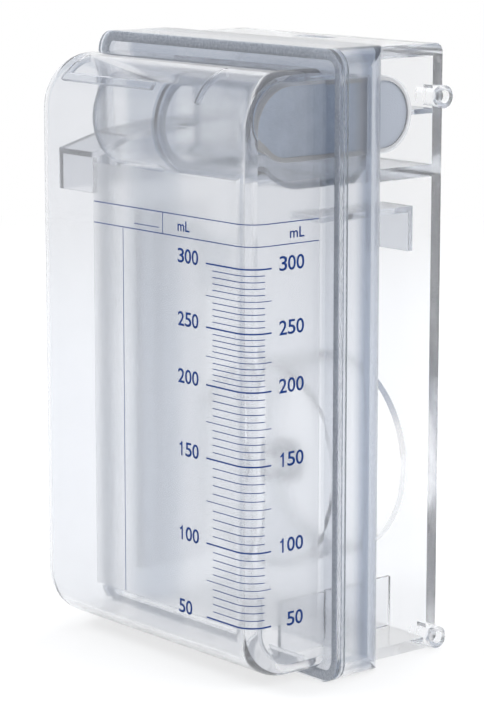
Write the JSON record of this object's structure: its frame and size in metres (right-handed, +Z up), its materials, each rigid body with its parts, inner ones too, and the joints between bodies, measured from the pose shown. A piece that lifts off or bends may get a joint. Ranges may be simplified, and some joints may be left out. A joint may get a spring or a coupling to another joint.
{
  "type": "suction canister",
  "caption": "Clear moulded suction canister with a welded flange, a filter chamber at the top, a volume scale film and an open docking frame with tubes at its back.",
  "frame": {"origin": "middle of the overall box, on the surface that the canister stands on", "axes": "+X to the right seen from the front, +Y from the front face to the docking frame, +Z up"},
  "size_m": [0.1036, 0.0755, 0.1713],
  "materials": {
    "front_shell": "clear moulded",
    "rear_shell": "clear moulded",
    "docking_frame": "clear moulded",
    "filter_chamber": "clear moulded",
    "filter_membrane": "matt porous sheet",
    "filter_frame": "clear moulded",
    "seal": "soft, satin",
    "label_film": "satin film with dark blue scale print"
  },
  "bodies": {
    "root": {"front_shell": "front_shell", "rear_shell": "rear_shell", "inlet_spigot": "docking_frame", "docking_frame": "docking_frame", "pocket_wall": "docking_frame", "right_rib": "docking_frame", "left_rail": "docking_frame", "filter_chamber": "filter_chamber", "filter_membrane": "filter_membrane", "filter_frame": "filter_frame", "inlet_seal": "seal", "label_film": "label_film"}
  },
  "joints": []
}
